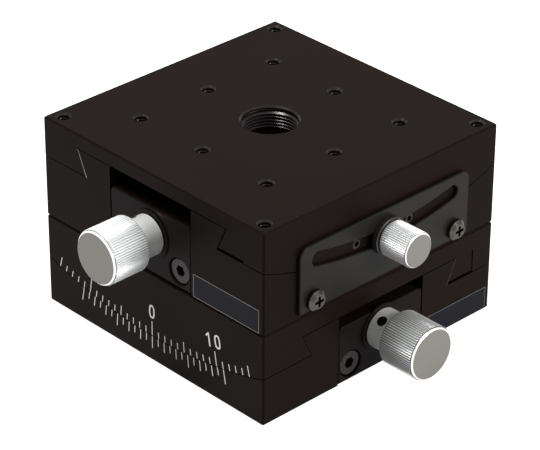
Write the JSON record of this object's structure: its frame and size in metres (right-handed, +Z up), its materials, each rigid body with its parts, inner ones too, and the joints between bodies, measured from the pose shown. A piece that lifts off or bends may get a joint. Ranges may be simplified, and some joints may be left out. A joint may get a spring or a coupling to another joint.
{
  "type": "goniometer stage",
  "caption": "Two-axis goniometer stage: two arc dovetail tilt stages at right angles, each with a worm drive knob and a side clamp, under a tapped square table.",
  "frame": {"origin": "centre of the lower base's underside", "axes": "+Z up; X is the lower stage's tilt axis direction, and Y the upper stage's; the lower knob points to -Y and the upper knob to -X"},
  "size_m": [0.1202, 0.1072, 0.059],
  "materials": {
    "black_anodised": "black anodised, satin",
    "black_screw_steel": "black oxide",
    "nickel_screw": "nickel plated",
    "knob_aluminium": "straight knurled, clear anodised",
    "black_washer": "black anodised",
    "shaft_steel": "ground",
    "bronze": "machined bronze",
    "scale_marks": "white paint filled in"
  },
  "bodies": {
    "frame": {"lower_base": "black_anodised", "lower_front_bracket": "black_anodised", "lower_front_bracket_screws": "black_screw_steel", "lower_front_bush": "bronze", "lower_rear_bracket": "black_anodised", "lower_rear_bracket_screws": "black_screw_steel", "lower_rear_bush": "bronze", "lower_clamp_plate": "black_anodised", "lower_clamp_plate_screws": "nickel_screw"},
    "lower_tilting": {"lower_table": "black_anodised", "lower_gib": "black_anodised", "lower_gib_screws": "black_screw_steel", "lower_sector": "bronze", "lower_sector_screws": "black_screw_steel", "upper_base": "black_anodised", "upper_front_bracket": "black_anodised", "upper_front_bracket_screws": "black_screw_steel", "upper_front_bush": "bronze", "upper_rear_bracket": "black_anodised", "upper_rear_bracket_screws": "black_screw_steel", "upper_rear_bush": "bronze", "upper_clamp_plate": "black_anodised", "upper_clamp_plate_screws": "nickel_screw", "joining_screws": "black_screw_steel"},
    "upper_tilting": {"upper_table": "black_anodised", "upper_gib": "black_anodised", "upper_gib_screws": "black_screw_steel", "upper_sector": "bronze", "upper_sector_screws": "black_screw_steel"},
    "lower_drive": {"lower_worm_shaft": "shaft_steel", "lower_thrust_collar": "shaft_steel", "lower_collar_screw": "black_screw_steel", "lower_knob": "knob_aluminium", "lower_knob_screw": "black_screw_steel"},
    "upper_drive": {"upper_worm_shaft": "shaft_steel", "upper_thrust_collar": "shaft_steel", "upper_collar_screw": "black_screw_steel", "upper_knob": "knob_aluminium", "upper_knob_screw": "black_screw_steel"},
    "lower_clamp_ring": {"lower_clamp_washer": "black_washer"},
    "lower_clamp_grip": {"lower_clamp_knob": "knob_aluminium", "lower_clamp_stud": "shaft_steel"},
    "upper_clamp_ring": {"upper_clamp_washer": "black_washer"},
    "upper_clamp_grip": {"upper_clamp_knob": "knob_aluminium", "upper_clamp_stud": "shaft_steel"}
  },
  "joints": [
    {"name": "lower_tilt", "type": "hinge", "parent": "frame", "child": "lower_tilting", "pos_m": [0, 0, 0.158], "axis": [1, 0, 0], "range_deg": [-10, 10]},
    {"name": "upper_tilt", "type": "hinge", "parent": "lower_tilting", "child": "upper_tilting", "pos_m": [0, 0, 0.158], "axis": [0, -1, 0], "range_deg": [-10, 10]},
    {"name": "lower_knob_turn", "type": "hinge", "parent": "frame", "child": "lower_drive", "pos_m": [0, -0.05, 0.0125], "axis": [0, -1, 0], "range_deg": [-2821, 2821]},
    {"name": "upper_knob_turn", "type": "hinge", "parent": "lower_tilting", "child": "upper_drive", "pos_m": [-0.05, 0, 0.0405], "axis": [-1, 0, 0], "range_deg": [-2261, 2261]},
    {"name": "lower_clamp_turn", "type": "hinge", "parent": "lower_clamp_ring", "child": "lower_clamp_grip", "pos_m": [0.05, 0, 0.0115], "axis": [1, 0, 0], "range_deg": [0, 361]},
    {"name": "lower_clamp_lift", "type": "slide", "parent": "lower_tilting", "child": "lower_clamp_ring", "axis": [1, 0, 0], "range_m": [0, 0.0007]},
    {"name": "upper_clamp_turn", "type": "hinge", "parent": "upper_clamp_ring", "child": "upper_clamp_grip", "pos_m": [0, -0.05, 0.042], "axis": [0, -1, 0], "range_deg": [0, 361]},
    {"name": "upper_clamp_lift", "type": "slide", "parent": "upper_tilting", "child": "upper_clamp_ring", "axis": [0, -1, 0], "range_m": [0, 0.0007]}
  ],
  "couplings": [
    {"joint": "lower_knob_turn", "follows": "lower_tilt", "ratio": 282},
    {"joint": "upper_knob_turn", "follows": "upper_tilt", "ratio": 226},
    {"joint": "lower_clamp_turn", "follows": "lower_clamp_lift", "rad_per_m": 8976},
    {"joint": "upper_clamp_turn", "follows": "upper_clamp_lift", "rad_per_m": 8976}
  ]
}
